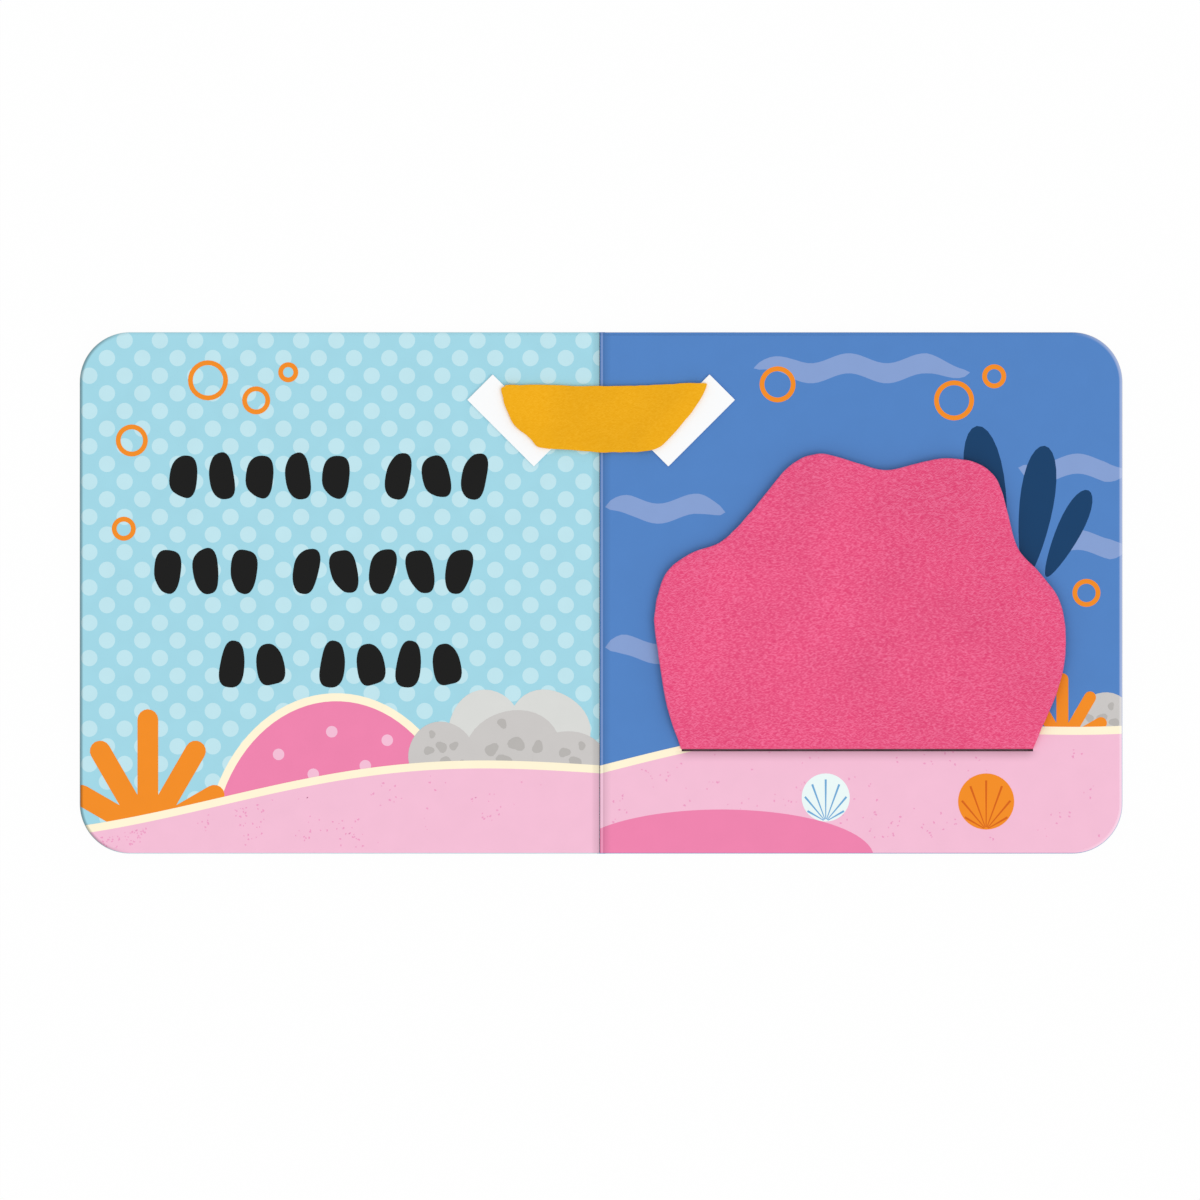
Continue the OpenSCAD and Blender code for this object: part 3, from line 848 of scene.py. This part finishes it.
def sheet_mesh(line, low, high, roll, cell, level, hand, rows=()):
    """A closed sheet with this outline, a rounded rim and enough cuts to be laid over things."""
    bm = bmesh.new()
    verts = []
    for x, y in line:
        shift = noise.noise_vector(Vector((x, y, 0)) * HAND_SCALE) * hand
        verts.append(bm.verts.new((x + shift.x, y + shift.y, high)))
    top = bm.faces.new(verts)
    if top.normal.z < 0:
        top.normal_flip()
    grown = bmesh.ops.extrude_face_region(bm, geom=[top])["geom"]
    bmesh.ops.translate(bm, vec=(0, 0, low - high),
                        verts=[g for g in grown if isinstance(g, bmesh.types.BMVert)])
    bmesh.ops.recalc_face_normals(bm, faces=bm.faces)
    rim = [e for e in bm.edges if abs(e.verts[0].co.z - e.verts[1].co.z) < TINY]
    bmesh.ops.bevel(bm, geom=rim, offset=roll, segments=4, profile=0.5, affect="EDGES",
                    clamp_overlap=True, material=-1)
    xs, ys = [v.co.x for v in bm.verts], [v.co.y for v in bm.verts]
    for axis, (start, end) in enumerate(((min(xs), max(xs)), (min(ys), max(ys)))):
        spot = math.ceil(start / cell) * cell
        while spot < end:
            bmesh.ops.bisect_plane(bm, geom=bm.verts[:] + bm.edges[:] + bm.faces[:],
                                   dist=TINY / 10, plane_co=(spot, spot, 0),
                                   plane_no=(1 - axis, axis, 0))
            spot += cell
    for y in rows:
        bmesh.ops.bisect_plane(bm, geom=bm.verts[:] + bm.edges[:] + bm.faces[:], dist=TINY / 10,
                               plane_co=(0, y, 0), plane_no=(0, 1, 0))
    for vert in bm.verts:
        vert.co.z += level(vert.co, (vert.co.z - low) / (high - low))
    for face in bm.faces:
        face.smooth = True
    bmesh.ops.recalc_face_normals(bm, faces=bm.faces)
    return bm


def felt(name, hex_colour, deep, pale, fluff):
    """Pressed wool: short wisps of fibre that lie every way, matt and a little fluffy."""
    material, nodes, links, shader = graph(name, FELT_ROUGH, FELT_SHINE)
    shader.inputs["Sheen Weight"].default_value = SHEEN_WEIGHT
    shader.inputs["Sheen Roughness"].default_value = SHEEN_ROUGH
    place = nodes.new("ShaderNodeTexCoord")
    swirl = nodes.new("ShaderNodeTexNoise")
    swirl.inputs["Scale"].default_value = SWIRL_SCALE
    swirl.inputs["Detail"].default_value = 2
    links.new(place.outputs["Object"], swirl.inputs["Vector"])
    push = nodes.new("ShaderNodeVectorMath")
    push.operation = "MULTIPLY_ADD"
    push.inputs[1].default_value = (FIBRE_SWIRL, FIBRE_SWIRL, 0)
    links.new(swirl.outputs["Color"], push.inputs[0])
    links.new(place.outputs["Object"], push.inputs[2])
    bent = push.outputs["Vector"]
    fibres = None
    for turn in FIBRE_TURNS:
        wisps = grain(nodes, links, FIBRE_SCALE, 2, stretch=(FIBRE_LONG, 1, 1), turn=turn,
                      bend=bent)
        if fibres is None:
            fibres = wisps
            continue
        upper = nodes.new("ShaderNodeMath")
        upper.operation = "MAXIMUM"
        links.new(fibres, upper.inputs[0])
        links.new(wisps, upper.inputs[1])
        fibres = upper.outputs["Value"]
    colours = [linear(colour) for colour in (deep, hex_colour, pale)]
    tone = ramp(nodes, links, fibres, list(zip(FIBRE_STOPS, colours)))
    greys = [(level, level, level, 1) for level in FELT_PATCH_TONES]
    patches = ramp(nodes, links, grain(nodes, links, FELT_PATCH_SCALE, 3),
                   list(zip((0.3, 0.7), greys)))
    links.new(mixed(nodes, links, "MULTIPLY", tone, patches), shader.inputs["Base Color"])
    relief(nodes, links, shader, fibres, fluff, FIBRE_DEPTH)
    return material


pink = felt("pink felt", "#E75380", "#E14374", "#EF729A", 0.6)
flap_low, flap_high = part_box("felt_flap")
seat = flap_high.z - FELT_T
flap_h = 73.6 * MM
flap_foot = flap_low.y
line = [(flap_low.x + x / 100 * (flap_high.x - flap_low.x), flap_foot + y / 100 * flap_h)
        for x, y in curved(FLAP_OUTLINE, False, 8)]


def flap_level(spot, share):
    """The foot bends down into the slot, and the rest springs a little off the page."""
    left_over = FOOT_BEND - min(max(spot.y - flap_foot, 0), FOOT_BEND)
    bend = FOOT_BEND - math.sqrt(FOOT_BEND ** 2 - left_over ** 2)
    out = min(max((spot.y - flap_foot - LIFT_START) / LIFT_LONG, 0), 1)
    swell = share * FLAP_SWELL * noise.noise(Vector(spot) * SWELL_SCALE)
    return FLAP_LIFT * out * out * (3 - 2 * out) + swell - bend


foot_rows = [flap_foot + FOOT_BEND * share for share in (0.2, 0.35, 0.5, 0.7, 1.0)]
bm = sheet_mesh(line, seat, flap_high.z, FLAP_RIM, FLAP_CELL, flap_level, FLAP_HAND, foot_rows)
foot_start = max(SLOT["x"], line[0][0]) + TONGUE_PLAY
foot_end = min(SLOT["x"] + SLOT["length"], line[-1][0]) - TONGUE_PLAY
made = bmesh.ops.create_cube(bm, size=1)["verts"]
deep = page_top - SLOT["deep"] + TONGUE_PLAY
bmesh.ops.scale(bm, vec=(foot_end - foot_start, TONGUE_T, seat + FELT_T / 2 - deep), verts=made)
bmesh.ops.translate(bm, verts=made, vec=((foot_start + foot_end) / 2, flap_foot + TONGUE_T / 2,
                                         (seat + FELT_T / 2 + deep) / 2))
sharpen(bm, 60)
flap = placed(bm, "felt_flap_sheet", [pink])
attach(flap, "back_half")
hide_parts("felt_flap")
flat_area(line) + (foot_end - foot_start) * (seat - deep)

# Tabs: two smooth white strips, slanted under the felt band.
# They are taken as card, cut straight, with edges that are just rounded.
TAB_W = 9 * MM
TAB_L = 23.5 * MM
TAB_T = 0.5 * MM
TAB_MIDDLE = (21.9 * MM, 43 * MM)
TAB_SLANT = math.radians(45)
TAB_ROLL = 0.12 * MM
CARD_ROUGH, CARD_SHINE = 0.5, 0.2
CARD_SCALE, CARD_STRENGTH, CARD_DEPTH = 1400, 0.1, 0.03 * MM
card, nodes, links, shader = graph("white card", CARD_ROUGH, CARD_SHINE)
shader.inputs["Base Color"].default_value = linear("#F8F9FA")
relief(nodes, links, shader, grain(nodes, links, CARD_SCALE, 3), CARD_STRENGTH, CARD_DEPTH)
for side, body in (("left", "front_half"), ("right", "back_half")):
    hand = -1 if side == "left" else 1
    bm = bmesh.new()
    made = bmesh.ops.create_cube(bm, size=1)["verts"]
    bmesh.ops.scale(bm, vec=(TAB_L, TAB_W, TAB_T), verts=made)
    bmesh.ops.bevel(bm, geom=bm.edges[:], offset=TAB_ROLL, segments=3, profile=0.5,
                    affect="EDGES", material=-1)
    turn = Matrix.Rotation(hand * TAB_SLANT, 4, "Z")
    bmesh.ops.rotate(bm, cent=(0, 0, 0), matrix=turn, verts=bm.verts)
    bmesh.ops.translate(bm, verts=bm.verts,
                        vec=(hand * TAB_MIDDLE[0], TAB_MIDDLE[1], seat + TAB_T / 2))
    bmesh.ops.recalc_face_normals(bm, faces=bm.faces)
    for face in bm.faces:
        face.smooth = abs(face.normal.z) < 0.999
    sharpen(bm)
    tab = placed(bm, side + "_tab_card", [card])
    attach(tab, body)
    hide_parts(side + "_tab")

# Felt band: mustard felt cut by hand, glued over both tabs and across the gutter.
# It rises over the tabs, and it bends with the gutter.
BAND_OUTLINE = [
    (0, 90), (1.5, 95), (6, 97.5), (44, 96), (68, 96.5), (92, 100), (98.5, 100), (100, 94),
    (94, 62), (88, 41), (80, 14.5), (73, 2.5), (58, 0), (47, 0), (30, 4), (19, 7), (14, 19),
    (6, 41), (1.5, 68),
]
BAND_CELL = 1.0 * MM
BAND_RIM, BAND_HAND = 0.36 * MM, 0.2 * MM
BAND_THINNED = 0.45 * MM
BAND_LUMP, LUMP_SCALE = 0.06 * MM, 140
TAB_EASE = 4 * MM
mustard = felt("mustard felt", "#ECAA12", "#E9A50D", "#F0AF1E", 0.4)
band_low, band_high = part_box("felt_band")
line = [(band_low.x + x / 100 * (band_high.x - band_low.x),
         band_low.y + y / 100 * (band_high.y - band_low.y))
        for x, y in curved(BAND_OUTLINE, True, 8)]


def over_tab(x, y):
    """One over a tab, nothing far from it, and a soft slope between."""
    x, y = abs(x) - TAB_MIDDLE[0], y - TAB_MIDDLE[1]
    along = abs(x * math.cos(TAB_SLANT) + y * math.sin(TAB_SLANT)) - TAB_L / 2
    across = abs(y * math.cos(TAB_SLANT) - x * math.sin(TAB_SLANT)) - TAB_W / 2
    away = math.hypot(max(along, 0), max(across, 0)) / TAB_EASE
    return 1 - min(1, away) ** 2 * (3 - 2 * min(1, away))


def band_level(spot, share):
    """Up over the tabs, and a little uneven on its upper side."""
    lumps = share * BAND_LUMP * noise.noise(Vector(spot) * LUMP_SCALE)
    return TAB_T * over_tab(spot.x, spot.y) + lumps


thick = band_high.z - seat
bm = sheet_mesh(line, seat, seat + thick - BAND_THINNED, BAND_RIM, BAND_CELL, band_level,
                BAND_HAND)
sharpen(bm, 60)
band = placed(bm, "felt_band_sheet", [mustard])
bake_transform(band)
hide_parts("felt_band")
flat_area(line)

# Spine wrap: printed paper round the spine, drawn as one bent strip.
# With the book open it is folded up between the two halves.
WRAP_T = 0.4 * MM
WRAP_STEPS = 24
ARCH_Z = page_top - SHEET_T - spine_gap
wrap_paper = printed_board("spine paper", "#5082C4", fold=False)


def wrap_line(radius):
    """The wrap's section at a distance from its middle line, up one leg and down the other."""
    arch = [(-radius * math.cos(math.pi * i / WRAP_STEPS),
             ARCH_Z + radius * math.sin(math.pi * i / WRAP_STEPS)) for i in range(WRAP_STEPS + 1)]
    return [(-radius, 0)] + arch + [(radius, 0)]


bm = bmesh.new()
section = wrap_line(spine_gap) + wrap_line(spine_gap - WRAP_T)[::-1]
face = bm.faces.new([bm.verts.new((x, -half_h, z)) for x, z in section])
grown = bmesh.ops.extrude_face_region(bm, geom=[face])["geom"]
bmesh.ops.translate(bm, vec=(0, 2 * half_h, 0),
                    verts=[g for g in grown if isinstance(g, bmesh.types.BMVert)])
bmesh.ops.recalc_face_normals(bm, faces=bm.faces)
for face in bm.faces:
    face.smooth = abs(face.normal.y) < 0.5
sharpen(bm)
wrap = placed(bm, "spine_wrap_paper", [wrap_paper])
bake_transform(wrap)
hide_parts("spine_wrap")

bpy.context.view_layer.update()
